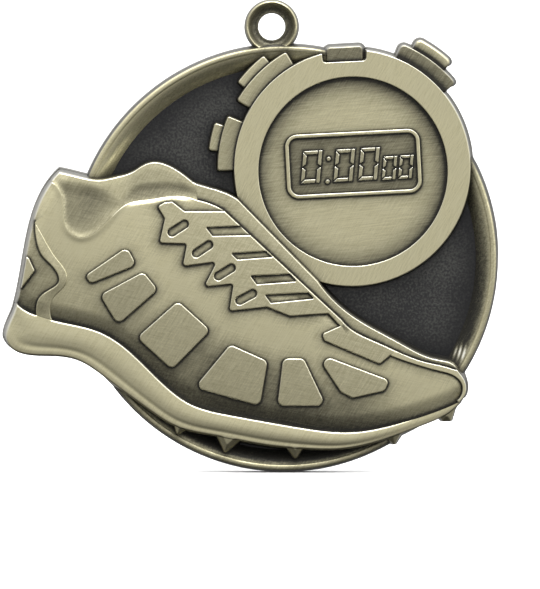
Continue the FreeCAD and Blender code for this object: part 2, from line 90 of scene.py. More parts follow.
DRAFT = math.tan(math.radians(10))      # lean of the cast walls
OUTLINE_STEP = 0.13                     # spacing of the points along an outline
PLATE_STEP = 0.25                       # and along the backing plate's
CORNER_TURN = math.radians(32)          # an outline turns more than this at a corner
FACING = 0.6                            # a front triangle faces forward at least this much
SURE = 0.02                             # farther from an outline, a point's side is certain
GRID_ROW = 0.866                        # row spacing of a triangular grid


# ---- reading the frame

def node_triangles(node):
    """A node's corner points as (x, height, z) in mm, and its triangles."""
    mesh = NODES[node].data
    mesh.calc_loop_triangles()
    points = np.array([v.co for v in mesh.vertices], float) / MM
    points = np.c_[points[:, 0], -points[:, 1], points[:, 2]]
    triangles = np.array([t.vertices for t in mesh.loop_triangles], int)
    merged, index = np.unique(np.round(points, 4), axis=0, return_inverse=True)
    return merged, index.reshape(-1)[triangles]


def front_loops(node):
    """Closed outlines of a node's front surface, as rings of (x, z, height)."""
    points, triangles = node_triangles(node)
    a, b, c = (points[triangles[:, k]] for k in range(3))
    normal = np.cross(b - a, c - a)
    front = normal[:, 1] < -FACING * np.maximum(np.linalg.norm(normal, axis=1), TINY)
    edges = {}
    for triangle in triangles[front]:
        for k in range(3):
            start, end = triangle[k], triangle[(k + 1) % 3]
            if (end, start) in edges:
                del edges[(end, start)]
            else:
                edges[(start, end)] = True
    following = {}
    for start, end in edges:
        following.setdefault(start, []).append(end)
    rings = []
    while following:
        start = here = next(iter(following))
        ring = []
        while not ring or here != start:
            ring.append(here)
            ends = following[here]
            after = ends.pop()
            if not ends:
                del following[here]
            here = after
        rings.append(points[ring][:, [0, 2, 1]])
    return rings


def signed_area(ring):
    """Positive for a ring that runs anticlockwise."""
    x, z = ring[:, 0], ring[:, 1]
    return 0.5 * np.sum(x * np.roll(z, -1) - np.roll(x, -1) * z)


def hermite(t, start, end, leaving, arriving, reach=1.0):
    """Points between two ends, with the slopes there given over a reach."""
    return ((2 * t**3 - 3 * t**2 + 1) * start + (-2 * t**3 + 3 * t**2) * end
            + (t**3 - 2 * t**2 + t) * reach * leaving + (t**3 - t**2) * reach * arriving)


def resampled(ring, step=OUTLINE_STEP):
    """A ring with even spacing: smooth through its points, but sharp at its corners."""
    leg = np.roll(ring, -1, 0) - ring
    length = np.maximum(np.linalg.norm(leg, axis=1), TINY)
    unit = leg / length[:, None]
    unit_in = np.roll(unit, 1, 0)
    length_in = np.roll(length, 1)
    mixed = unit_in * length[:, None] + unit * length_in[:, None]
    mixed /= np.linalg.norm(mixed, axis=1)[:, None]
    mixed = np.where((length_in > 3 * length)[:, None], unit_in, mixed)
    mixed = np.where((length > 3 * length_in)[:, None], unit, mixed)
    corner = np.arccos(np.clip((unit * unit_in).sum(1), -1, 1)) > CORNER_TURN
    leaving = np.where(corner[:, None], unit, mixed)
    arriving = np.roll(np.where(corner[:, None], unit_in, mixed), -1, 0)
    result = []
    for index, start in enumerate(ring):
        end = ring[(index + 1) % len(ring)]
        count = max(1, int(round(length[index] / step)))
        t = (np.arange(count) / count)[:, None]
        result.append(hermite(t, start, end, leaving[index], arriving[index], length[index]))
    points = np.concatenate(result)
    gap = np.linalg.norm(np.roll(points, -1, 0) - points, axis=1)
    return points[gap > 0.02 * step]


def smoothstep(low, high, value):
    """0 up to low, 1 from high on, and an even S between; low may be the larger one."""
    t = np.clip((value - low) / (high - low), 0, 1)
    return t * t * (3 - 2 * t)


def tree_of(points):
    """A search tree over plan positions."""
    tree = kdtree.KDTree(len(points))
    for index, (x, z) in enumerate(points):
        tree.insert((x, z, 0), index)
    tree.balance()
    return tree


def nearest(tree, points):
    """For each point, the index of the tree's nearest one."""
    find = tree.find
    return np.fromiter((find((x, z, 0))[1] for x, z in points), int, len(points))


class Outline:
    """Closed rings in plan with quick signed distances: positive inside."""

    def __init__(self, rings):
        rings = [ring[:, :2] for ring in rings]
        self.rings = []
        for ring in rings:
            depth = sum(inside_ring(ring[0], other) for other in rings if other is not ring)
            wanted = 1 if depth % 2 == 0 else -1
            self.rings.append(ring if np.sign(signed_area(ring)) == wanted else ring[::-1])
        self.points = np.concatenate(self.rings)
        starts = np.cumsum([0] + [len(ring) for ring in self.rings])
        self.spans = list(zip(starts[:-1], starts[1:]))
        self.following = np.arange(len(self.points)) + 1
        for start, end in self.spans:
            self.following[end - 1] = start
        self.previous = np.argsort(self.following)
        self.after = self.points[self.following]
        leg = self.after - self.points
        self.length = np.maximum(np.linalg.norm(leg, axis=1), TINY)
        self.unit = leg / self.length[:, None]
        side = np.c_[self.unit[:, 1], -self.unit[:, 0]]
        blend = side + side[self.previous]
        size = np.maximum(np.linalg.norm(blend, axis=1), 1e-6)
        self.outward = blend / size[:, None]
        self.tree = tree_of(self.points)
        self.low = self.points.min(0)
        self.high = self.points.max(0)

    def signed(self, points):
        """Signed distance of every point, and the nearest outline point's index."""
        near = nearest(self.tree, points)
        best = np.full(len(points), np.inf)
        sign = np.ones(len(points))
        for index in (near, self.previous[near]):
            offset = points - self.points[index]
            along = np.clip((offset * self.unit[index]).sum(1), 0, self.length[index])
            foot = offset - self.unit[index] * along[:, None]
            distance = np.linalg.norm(foot, axis=1)
            side = self.unit[index, 0] * offset[:, 1] - self.unit[index, 1] * offset[:, 0]
            at_start = along <= TINY
            at_end = along >= self.length[index] - TINY
            corner = np.where(at_start[:, None], self.outward[index],
                              self.outward[self.following[index]])
            side = np.where(at_start | at_end, -(foot * corner).sum(1), side)
            closer = distance < best
            best = np.where(closer, distance, best)
            sign = np.where(closer, np.where(side >= 0, 1, -1), sign)
        return best * sign, near


def inside_ring(point, ring):
    """Whether one point lies inside one ring."""
    x, z = ring[:, 0], ring[:, 1]
    x2, z2 = np.roll(x, -1), np.roll(z, -1)
    spans = (z > point[1]) != (z2 > point[1])
    rise = np.where(z2 == z, 1, z2 - z)
    cross = x + (point[1] - z) * (x2 - x) / rise
    return int(np.sum(spans & (cross > point[0])) % 2)


def parted(outline, least=0.12):
    """An outline whose holes leave at least this much material along its edge."""
    edge = Outline([ring for ring in outline.rings if signed_area(ring) > 0])
    lacking = np.clip(least - edge.signed(outline.points)[0], 0, 2 * least)
    drawn_in = outline.points + outline.outward * lacking[:, None]
    return Outline([drawn_in[start:end] if signed_area(ring) < 0 else ring
                    for ring, (start, end) in zip(outline.rings, outline.spans)])


def node_outline(node):
    """A node's front outline, resampled, with the node's height at each outline point."""
    rings = [resampled(ring) for ring in front_loops(node)]
    rings = [ring for ring in rings if abs(signed_area(ring)) > 0.01]
    outline = parted(Outline(rings))
    every = np.concatenate(rings)
    outline.height = every[nearest(tree_of(every[:, :2]), outline.points), 2]
    return outline


# ---- mesh building

EDGE_ROWS = (0.13, 0.29, 0.5, 0.75, 1.0, 1.6)   # rows along an edge, in edge radii from it
FOOT_ROWS = (0.05, 0.17, 0.3)                   # rows round a piece that lies on another


def filled(points, outline):
    """Triangles that fill an outline. Its own points come first in the points given."""
    count = len(outline.points)
    links = list(zip(range(count), outline.following.tolist()))
    found = delaunay_2d_cdt([Vector(p) for p in points], links, [], 0, 1e-6, True)
    source = np.array([min(numbers, default=-1) for numbers in found[3]])
    triangles = source[np.array([face for face in found[2] if len(face) == 3], int)]
    triangles = triangles[(triangles >= 0).all(1)]
    after = np.full(len(points), -1)
    after[:count] = outline.following
    there = np.roll(triangles, -1, 1)
    forward = (after[triangles] == there).any(1)
    backward = (after[there] == triangles).any(1)
    distance, _ = outline.signed(points[triangles].mean(1))
    clear = np.where(np.abs(distance) > SURE, np.sign(distance), 0)
    inside = np.where(forward, 1, np.where(backward, -1, clear))
    settle(triangles, inside)
    return triangles[inside > 0]


def sides_of(triangle):
    """A triangle's three sides, each the same for both triangles that share it."""
    a, b, c = triangle.tolist()
    return frozenset((a, b)), frozenset((b, c)), frozenset((c, a))


def settle(triangles, inside):
    """Gives the slivers along straight edges the side that their neighbours are on."""
    unknown = np.flatnonzero(inside == 0).tolist()
    sharing = {}
    for number, triangle in enumerate(triangles if unknown else []):
        for side in sides_of(triangle):
            sharing.setdefault(side, []).append(number)
    found = True
    while found:
        found = False
        for number in [number for number in unknown if inside[number] == 0]:
            near = [inside[other] for side in sides_of(triangles[number])
                    for other in sharing[side] if inside[other] != 0]
            if near:
                inside[number] = near[0]
                found = True


def plan_mesh(outline, spacing, edge, lying=()):
    """Points and triangles that fill an outline, with rows along its edge and round
    the pieces that lie on it."""
    layers = [outline.points]
    for share in EDGE_ROWS:
        inset = edge * share
        row = outline.points - outline.outward * inset
        distance, _ = outline.signed(row)
        layers.append(row[distance > 0.93 * inset])
    for other in lying:
        for away in FOOT_ROWS:
            row = other.points + other.outward * away
            clear = -other.signed(row)[0] > 0.9 * away
            row = row[clear]
            layers.append(row[outline.signed(row)[0] > edge])
    x = np.arange(outline.low[0], outline.high[0], spacing)
    z = np.arange(outline.low[1], outline.high[1], spacing * GRID_ROW)
    grid_x, grid_z = np.meshgrid(x, z)
    grid_x = grid_x + (np.arange(len(z)) % 2)[:, None] * spacing / 2
    grid = np.c_[grid_x.ravel(), grid_z.ravel()]
    distance, _ = outline.signed(grid)
    layers.append(grid[distance > EDGE_ROWS[-1] * edge + 0.5 * spacing])
    points = np.concatenate(layers)
    triangles = filled(points, outline)
    kept = np.zeros(len(points), bool)
    kept[:len(outline.points)] = True
    kept[triangles] = True
    return points[kept], (np.cumsum(kept) - 1)[triangles]


PIECES = {}
DISC_EDGE = 27.4          # walls beyond this radius are part of the medal's silhouette
WALL_PATINA_AND_SHADE = 0.92        # walls that drop into the field: patina and painted shade
# the medal's silhouette walls: patina and painted shade, less where they face left
OUTER_WALL_PATINA_AND_SHADE = 0.42
ROOT = 0.05               # how deep a piece's walls go into the one below it


class Piece:
    """One relief piece while it is being worked out."""

    def __init__(self, node, outline, points, triangles, height):
        self.node = node
        self.outline = outline
        self.points = points
        self.triangles = triangles
        self.height = height
        self.patina_and_shade = np.zeros(len(points))
        self.wear_and_sheen = np.zeros(len(points))
        PIECES[node] = self

    def stand(self, base, spread, material):
        """Sets how deep the walls go, how far their foot leans out, and the material."""
        count = len(self.outline.points)
        self.base = np.full(count, base)
        self.spread = np.full(count, spread)
        self.material = material

    def darken(self, amount, where=slice(None)):
        """Adds patina and painted shade over this share of what still shines."""
        self.patina_and_shade[where] = 1 - (1 - self.patina_and_shade[where]) * (1 - amount)


def edge_drop(distance, radius):
    """How far a rounded edge falls below the surface at a distance from its outline."""
    inside = np.clip(1 - distance / radius, 0, 1)
    return radius * (1 - np.sqrt(1 - inside**2))


def finish_piece(piece):
    """Closes a piece with walls and a back, makes its mesh and hangs it on the frame."""
    outline = piece.outline
    rim = np.arange(len(outline.points))
    top = piece.height[rim]
    fall = np.maximum(top - piece.base, 0.02)
    front = np.c_[piece.points[:, 0], -piece.height, piece.points[:, 1]]
    lean = outline.outward * piece.spread[:, None]
    foot = outline.points + lean
    silhouette = smoothstep(DISC_EDGE, DISC_EDGE + 0.6, np.linalg.norm(foot, axis=1))
    # painted light: silhouette walls that face left are lighter
    sunlit = np.clip(-outline.outward[:, 0], 0, 1)**2
    outer = OUTER_WALL_PATINA_AND_SHADE * (1 - 0.8 * sunlit)
    walls = WALL_PATINA_AND_SHADE + (outer - WALL_PATINA_AND_SHADE) * silhouette
    count = len(rim)
    rows = [front]
    faces = [piece.triangles[:, ::-1]]
    previous = rim
    for number, share in enumerate((0.5, 1.0)):
        plan = outline.points + lean * share
        rows.append(np.c_[plan[:, 0], -(top - fall * share), plan[:, 1]])
        here = len(front) + number * count + rim
        ahead = previous[outline.following]
        faces.append(np.c_[previous, here, ahead])
        faces.append(np.c_[here, here[outline.following], ahead])
        previous = here
    faces.append(previous[filled(outline.points, outline)])
    make_object(piece.node + "_relief", piece.node, np.concatenate(rows),
                np.concatenate(faces).tolist(), np.r_[piece.patina_and_shade, walls, walls],
                np.r_[np.zeros(len(front)), silhouette, silhouette],
                np.r_[piece.wear_and_sheen, np.zeros(2 * count)], piece.material, 50)


def make_object(name, node, verts, faces, patina_and_shade, wall, edge, material, sharp):
    """A mesh object that stands for a CAD node, with its patina and painted shade, and its edge
    wear and painted edge highlights, at each point.
    """
    mesh = bpy.data.meshes.new(name)
    mesh.from_pydata((verts * MM).tolist(), [], faces)
    for attribute, values in (("patina_and_shade", patina_and_shade), ("wall", wall), ("edge", edge)):
        layer = mesh.attributes.new(attribute, "FLOAT", "POINT")
        layer.data.foreach_set("value", np.asarray(values, np.float32))
    mesh.validate()
    mesh.shade_smooth()
    mesh.set_sharp_from_angle(angle=math.radians(sharp))
    mesh.materials.append(material)
    piece = bpy.data.objects.new(name, mesh)
    bpy.context.scene.collection.objects.link(piece)
    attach(piece, BODY)
    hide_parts(node)


# ---- plan-view helpers

def curve(points, step=0.05):
    """A dense smooth open curve through the points."""
    points = np.array(points, float)
    ahead = np.r_[points[1:], [2 * points[-1] - points[-2]]]
    behind = np.r_[[2 * points[0] - points[1]], points[:-1]]
    slope = (ahead - behind) / 2
    result = []
    for index in range(len(points) - 1):
        start, end = points[index], points[index + 1]
        count = max(2, int(np.linalg.norm(end - start) / step))
        t = (np.arange(count) / count)[:, None]
        result.append(hermite(t, start, end, slope[index], slope[index + 1]))
    return np.concatenate(result + [points[-1:]])


class Line:
    """An open curve in plan: distance from it, and which side a point is on."""

    def __init__(self, points):
        self.points = points
        leg = np.diff(points, axis=0)
        leg = np.r_[leg, leg[-1:]]
        self.unit = leg / np.maximum(np.linalg.norm(leg, axis=1), TINY)[:, None]
        self.tree = tree_of(points)

    def signed(self, points):
        """Positive on the right-hand side when walking along the curve."""
        near = nearest(self.tree, points)
        offset = points - self.points[near]
        unit = self.unit[near]
        side = unit[:, 1] * offset[:, 0] - unit[:, 0] * offset[:, 1]
        inner = (near > 0) & (near < len(self.points) - 1)
        distance = np.where(inner, np.abs(side), np.linalg.norm(offset, axis=1))
        return np.where(side >= 0, 1, -1) * distance

    def distance(self, points):
        """Distance from the curve."""
        return np.abs(self.signed(points))


def stretch(node, wanted, step=0.03):
    """The part of a node's outline where wanted(points) is true, as a dense line."""
    outline = OUTLINES[node]
    pieces = []
    for index in np.flatnonzero(wanted(outline)):
        start, end = outline.points[index], outline.after[index]
        count = max(1, int(outline.length[index] / step))
        pieces.append(start + (end - start) * (np.arange(count) / count)[:, None])
    return Line(np.concatenate(pieces))


# ---- the surfaces

def top_of(node):
    """Highest point of a node above the back."""
    return -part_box(node)[0].y / MM


PLATE = top_of("backing_plate")
SHOE_POINT = (-9.0, -5.2)         # the crown line of the shoe's arch passes here
SHOE_SLOPE = math.radians(-21)    # direction of that line
SHOE_CROWN = 4.8                  # its height
SHOE_DOME = 110                   # radius of the arch across it
OVERLAY = 0.35                    # relief of the pieces that lie on the arch
BAND_DROP = 0.25                  # the shoe's far side, below the arch
CASE_STEP = 0.38                  # and at least this far in front of the stopwatch


def off_crown(points):
    """Distance from the shoe's crown line: positive above it."""
    return (-(points[:, 0] - SHOE_POINT[0]) * math.sin(SHOE_SLOPE)
            + (points[:, 1] - SHOE_POINT[1]) * math.cos(SHOE_SLOPE))


def arch(points, lift=0.0):
    """The shoe's crosswise arch."""
    return SHOE_CROWN + lift - off_crown(points)**2 / (2 * SHOE_DOME)


def flat(level):
    """A level surface."""
    return lambda points: np.full(len(points), level)


OUTLINES = {}
SURFACES = {}
PADS = [f"side_pad_{number}" for number in range(1, 7)]
OVERLAYS = ["lace_panel", "toe_patch", "toe_guard", "heel_strap", "heel_patch"] + PADS
SHOE = ["shoe_upper", "ankle_collar", "far_side_band", "shoe_sole"]
BUTTONS = ["left_button_collar", "left_button_cap", "upper_left_button_collar",
           "upper_left_button_cap", "right_button_collar", "right_button_cap",
           "stopwatch_crown"]
WATCH = ["stopwatch_case", "stopwatch_dial"] + BUTTONS
ON_DIAL = ["display_frame", "display_digits"]
for name in SHOE + OVERLAYS + WATCH + ON_DIAL + ["sole_spikes"]:
    OUTLINES[name] = node_outline(name)
for name in WATCH + ON_DIAL:
    SURFACES[name] = flat(top_of(name))

BROW = Line(curve([(-31.4, 11.2), (-29.8, 10.3), (-27.0, 10.0), (-25.2, 9.7), (-23.4, 9.0),
                   (-22.4, 8.2), (-21.7, 7.5), (-20.9, 8.3), (-19.8, 9.4), (-18.4, 9.85),
                   (-16.4, 10.0), (-13.8, 9.9), (-12.2, 9.45), (-11.0, 8.7)]))


def lip(points, other):
    """A soft raised line where the padded opening meets the upper."""
    distance = np.abs(OUTLINES[other].signed(points)[0])
    behind = 1 - smoothstep(-22.5, -19.5, points[:, 0])
    return 0.1 * behind * np.exp(-(distance / 0.45)**2)


def heel_fall(points):
    """How far the shoe falls away towards the heel's edge."""
    return 0.3 * (1 - smoothstep(-0.4, 1.6, HEEL_EDGE.distance(points)))


def upper_surface(points):
    """The arch, hollowed along the welt, rounded over at the heel and under the tongue."""
    x = points[:, 0]
    to_sole = np.abs(OUTLINES["shoe_sole"].signed(points)[0])
    to_collar = np.abs(OUTLINES["ankle_collar"].signed(points)[0])
    height = arch(points) - 0.35 * (1 - smoothstep(0, 2.4, to_sole))
    height -= heel_fall(points)
    under_tongue = smoothstep(-21.5, -19.5, x) * (1 - smoothstep(-13.5, -11.5, x))
    height -= 0.21 * under_tongue * (1 - smoothstep(0, 0.6, to_collar))
    return height + lip(points, "ankle_collar")


def far_level(points):
    """The far side: a step below the upper, but always in front of the stopwatch."""
    blend = 0.06
    least = top_of("stopwatch_case") + CASE_STEP
    return np.logaddexp(arch(points, -BAND_DROP) / blend, least / blend) * blend


def opening(points):
    """How much a point belongs to the hollow behind the heel, and its hollowness."""
    below = BROW.signed(points)
    to_upper = np.abs(OUTLINES["shoe_upper"].signed(points)[0])
    dent = 1 - smoothstep(-22.9, -21.2, points[:, 0])
    reach = 0.6 + 1.9 * smoothstep(-29.2, -27.0, points[:, 0])
    fall = smoothstep(-0.3, 1.7 * dent + 0.9 * (1 - dent), below)
    rise = 1 - np.exp(-to_upper / (reach * dent + 0.9 * (1 - dent)))
    return dent, fall * rise


def collar_surface(points):
    """The padded opening: a rolled rim, the hollow behind the brow line, the tongue."""
    x = points[:, 0]
    dent, hollow = opening(points)
    step = 0.4 * smoothstep(-23.0, -19.5, x)
    level = arch(points, -step)
    level += (far_level(points) - level) * smoothstep(-15.0, -11.3, x)
    height = level - (0.42 * dent + 0.2 * (1 - dent)) * hollow
    height -= 0.05 * (1 - smoothstep(0, 0.9, COLLAR_EDGE.distance(points))) + heel_fall(points)
    return height + lip(points, "shoe_upper")


def band_surface(points):
    """The far side of the shoe, falling a little outwards."""
    return far_level(points) - 0.02 * (1 - smoothstep(0, 1.0, BAND_EDGE.distance(points)))


def sole_surface(points):
    """The sole's cross-section: a long soft bulge, a faint groove and a rounded lip."""
    to_welt = np.abs(OUTLINES["shoe_upper"].signed(points)[0])
    to_edge = SOLE_EDGE.distance(points)
    share = to_welt / np.maximum(to_welt + to_edge, 1e-6)
    full = smoothstep(0, 3.2, to_welt + to_edge)
    grooved = smoothstep(-36, -33, points[:, 0]) * (1 - smoothstep(5, 15, points[:, 0]))
    bulge = 0.13 * np.exp(-((share - 0.38) / 0.33)**2)
    groove = 0.07 * np.exp(-((share - 0.78) / 0.08)**2)
    fall = 0.05 * smoothstep(0.45, 0.8, share) + 0.07 * (1 - smoothstep(0, 0.8, to_edge))
    top = top_of("shoe_sole") - 0.13
    return top + full * (bulge - grooved * groove - fall) + 0.06 * (1 - full)


def overlay_surface(points):
    """A thin piece lying on the arch."""
    return arch(points, OVERLAY)


def strap_surface(points):
    """The heel strap: a crisp step on the heel's side, a soft slope on the other."""
    slope = 1 - smoothstep(-0.2, 1.3, STRAP_EDGE.distance(points))
    fade = smoothstep(5.2, 1.5, points[:, 1])
    height = arch(points, OVERLAY * 0.75 * fade) - OVERLAY * 0.5 * slope * fade
    height -= heel_fall(points) * (1 - fade)
    to_sole = np.abs(OUTLINES["shoe_sole"].signed(points)[0])
    foot = 1 - smoothstep(0, 2.2, to_sole)
    return height + (sole_surface(points) + 0.03 - height) * foot


def spike_surface(points):
    """The spikes go on from the sole's lip, ridged, and fall towards their points."""
    away = np.abs(OUTLINES["shoe_sole"].signed(points)[0])
    ridge = np.minimum(SPIKE_EDGE.distance(points), 0.7)
    return top_of("sole_spikes") - 0.2 * away + 0.6 * ridge - 0.4


SURFACES.update(shoe_upper=upper_surface, ankle_collar=collar_surface,
                far_side_band=band_surface, shoe_sole=sole_surface,
                sole_spikes=spike_surface)
for name in OVERLAYS:
    SURFACES[name] = overlay_surface
SURFACES["heel_strap"] = strap_surface


def free_of(*others):
    """A test for outline points that don't touch the other pieces."""
    def test(outline):
        away = np.full(len(outline.points), np.inf)
        for other in others:
            away = np.minimum(away, -OUTLINES[other].signed(outline.points)[0])
        return away > 0.25
    return test


HEEL_EDGE = stretch("shoe_upper", free_of("shoe_sole", "ankle_collar", "far_side_band"))
COLLAR_EDGE = stretch("ankle_collar", free_of("shoe_upper", "far_side_band"))
BAND_EDGE = stretch("far_side_band", free_of("shoe_upper", "ankle_collar", "shoe_sole"))
SOLE_EDGE = stretch("shoe_sole", free_of("shoe_upper", "far_side_band"))
SPIKE_EDGE = stretch("sole_spikes", free_of("shoe_sole"))
STRAP_EDGE = stretch("heel_strap", lambda outline: outline.outward[:, 0] > 0.3)

# neighbours that meet a piece face to face
TOUCHING = {name: [other for other in SHOE if other != name] for name in SHOE}
TOUCHING.update({name: [other for other in WATCH if other != name] + SHOE
                 for name in WATCH})
TOUCHING["sole_spikes"] = ["shoe_sole"]
TOUCHING["shoe_sole"] += ["sole_spikes", "heel_strap"]
TOUCHING["heel_strap"] = ["shoe_sole"]
TOUCHING["toe_patch"] = ["toe_guard"]
TOUCHING["toe_guard"] = ["toe_patch"]

LYING_ON = {"shoe_upper": OVERLAYS, "stopwatch_dial": ON_DIAL}


def softened(values, outline):
    """Values at outline points, evened out along the outline."""
    for _ in range(2):
        values = (values[outline.previous] + 2 * values + values[outline.following]) / 4
    return values


def build_piece(node, spacing, edge):
    """The front surface of one piece with its free edges rounded."""
    outline = OUTLINES[node]
    surface = SURFACES[node]
    lying = [OUTLINES[other] for other in LYING_ON.get(node, [])]
    points, triangles = plan_mesh(outline, spacing, edge, lying)
    distance, near = outline.signed(points)
    distance = np.maximum(distance, 0)
    own = surface(outline.points)
    beyond = outline.points + outline.outward * 0.2
    next_level = np.full(len(beyond), PLATE)
    touching = np.zeros(len(beyond))
    for other in TOUCHING.get(node, []):
        within = OUTLINES[other].signed(beyond)[0] > 0
        if within.any():
            next_level[within] = SURFACES[other](outline.points[within])
            touching[within] = 1
    rounding = softened(np.clip((own - next_level) / edge, 0, 1), outline)
    height = surface(points) - edge_drop(distance, edge) * rounding[near]
    piece = Piece(node, outline, points, triangles, height)
    # painted highlight: edges that face up get the most edge sheen, edges that face down the
    # least
    lit = np.clip(0.3 + 0.95 * outline.outward[:, 1], 0.15, 1)
    piece.wear_and_sheen = np.clip(1 - distance / max(edge, 0.1), 0, 1) * (rounding * lit)[near]
    piece.touching = touching
    return piece


def steep(outline):
    """Where the medal's lower and toe-side silhouette has hardly any lean, 0 to 1."""
    beyond_disc = smoothstep(DISC_EDGE, DISC_EDGE + 1.5, np.linalg.norm(outline.points, axis=1))
    below = np.clip(-1.3 * outline.outward[:, 1], 0, 1)
    toe_side = np.clip(outline.outward[:, 0], 0, 1) * smoothstep(5, -5, outline.points[:, 1])
    return np.maximum(below, 0.85 * toe_side) * beyond_disc


def exposed_spread(piece):
    """Walls lean out where nothing touches them, but hardly under the sole."""
    lean = DRAFT * (1 - piece.touching) * (1 - 0.85 * steep(piece.outline))
    return (piece.outline.height - PLATE + ROOT) * lean


def halo(node, sources, line, narrow, soft, reach, facing=None):
    """Darkens a piece next to the foot of taller ones with patina and painted shade: a narrow
    line and a soft band, weighted by side where facing is given.
    """
    piece = PIECES[node]
    together = Outline([ring for source in sources for ring in OUTLINES[source].rings])
    distance, near = together.signed(piece.points)
    distance = np.abs(distance)
    reach = reach(piece.points) if callable(reach) else reach
    shade = line * np.exp(-(distance / narrow)**2) + soft * np.exp(-(distance / reach)**1.3)
    if facing is not None:
        shade = shade * facing(together.outward[near])
    piece.darken(np.clip(shade, 0, 1))


def mostly_below(outward):
    """Painted shadow: weaker above a raised piece than below it, as if lit from above."""
    return 1 - 0.45 * np.clip(outward[:, 1], 0, 1)


def heelwards(outward):
    """Painted shadow only on the heel's side of a piece."""
    return smoothstep(0.35, -0.15, outward[:, 0])


def less_above_right(outward):
    """Painted shadow, a little weaker towards the upper right."""
    return 1 - 0.22 * (0.5 * outward[:, 0] + 0.87 * outward[:, 1])


def welt_reach(points):
    """The shade over the sole is widest in the middle of the shoe."""
    x = points[:, 0]
    return 1.0 + 0.7 * smoothstep(-24, -8, x) - 1.0 * smoothstep(4, 17, x)


# ---- materials

class Nodes:
    """A short way to write one material's node tree."""

    def __init__(self, name):
        self.material = bpy.data.materials.new(name)
        self.material.use_nodes = True
        self.tree = self.material.node_tree
        self.surface = self.tree.nodes["Principled BSDF"]
        place = self.add("ShaderNodeTexCoord")
        self.millimetres = self.link(
            self.add("ShaderNodeVectorMath", operation="SCALE", inputs={"Scale": 1 / MM}),
            "Vector", place.outputs["Object"])

    def add(self, kind, inputs=None, **settings):
        """One node with its settings and fixed inputs."""
        node = self.tree.nodes.new(kind)
        for key, value in settings.items():
            setattr(node, key, value)
        for key, value in (inputs or {}).items():
            node.inputs[key].default_value = value
        return node

    def link(self, node, socket, source):
        """Joins a source to a node and returns the node's output."""
        self.tree.links.new(source, node.inputs[socket])
        return node.outputs[0]

    def feed(self, socket, item):
        """Sets a socket to a number or a colour, or joins it to another node's output."""
        if isinstance(item, (int, float)):
            socket.default_value = item
        elif isinstance(item, tuple):
            socket.default_value = (*item, 1)
        else:
            self.tree.links.new(item, socket)

    def value(self, operation, first, second, clamp=False):
        """Arithmetic on sockets or numbers."""
        node = self.add("ShaderNodeMath", operation=operation, use_clamp=clamp)
        for index, item in enumerate((first, second)):
            self.feed(node.inputs[index], item)
        return node.outputs[0]

    def swing(self, source, amount):
        """How far a value is from its middle, times an amount."""
        return self.value("MULTIPLY", self.value("SUBTRACT", source, 0.5), amount)

    def attribute(self, name):
        """A per-point number of the mesh."""
        return self.add("ShaderNodeAttribute", attribute_name=name).outputs["Fac"]

    def stretched(self, scale, angle):
        """Object position in mm, turned in the medal's plane and scaled."""
        node = self.add("ShaderNodeMapping", vector_type="POINT")
        node.inputs["Rotation"].default_value = (0, math.radians(angle), 0)
        turned = self.link(node, "Vector", self.millimetres)
        node = self.add("ShaderNodeMapping", vector_type="POINT")
        node.inputs["Scale"].default_value = scale
        return self.link(node, "Vector", turned)

    def noise(self, vector, scale, detail=3.0, rough=0.55):
        """Fractal noise, 0 to 1."""
        node = self.add("ShaderNodeTexNoise", inputs={"Scale": scale, "Detail": detail,
                                                      "Roughness": rough})
        return self.link(node, "Vector", vector)

    def spread(self, source, low, high, to_low=0.0, to_high=1.0):
        """Maps a range of a value onto another, with its ends held."""
        node = self.add("ShaderNodeMapRange", clamp=True,
                        inputs={"From Min": low, "From Max": high,
                                "To Min": to_low, "To Max": to_high})
        return self.link(node, "Value", source)

    def mix(self, factor, first, second):
        """Blends two colours."""
        node = self.add("ShaderNodeMix", data_type="RGBA")
        for index, item in ((0, factor), (6, first), (7, second)):
            self.feed(node.inputs[index], item)
        return node.outputs[2]

    def bump(self, height, distance):
        """A fine relief; distance in mm."""
        node = self.add("ShaderNodeBump", inputs={"Strength": 0.5, "Distance": distance * MM})
        return self.link(node, "Height", height)

    def finish(self, **sockets):
        """Connects the surface's inputs."""
        for name, item in sockets.items():
            self.feed(self.surface.inputs[name.replace("_", " ")], item)
        return self.material


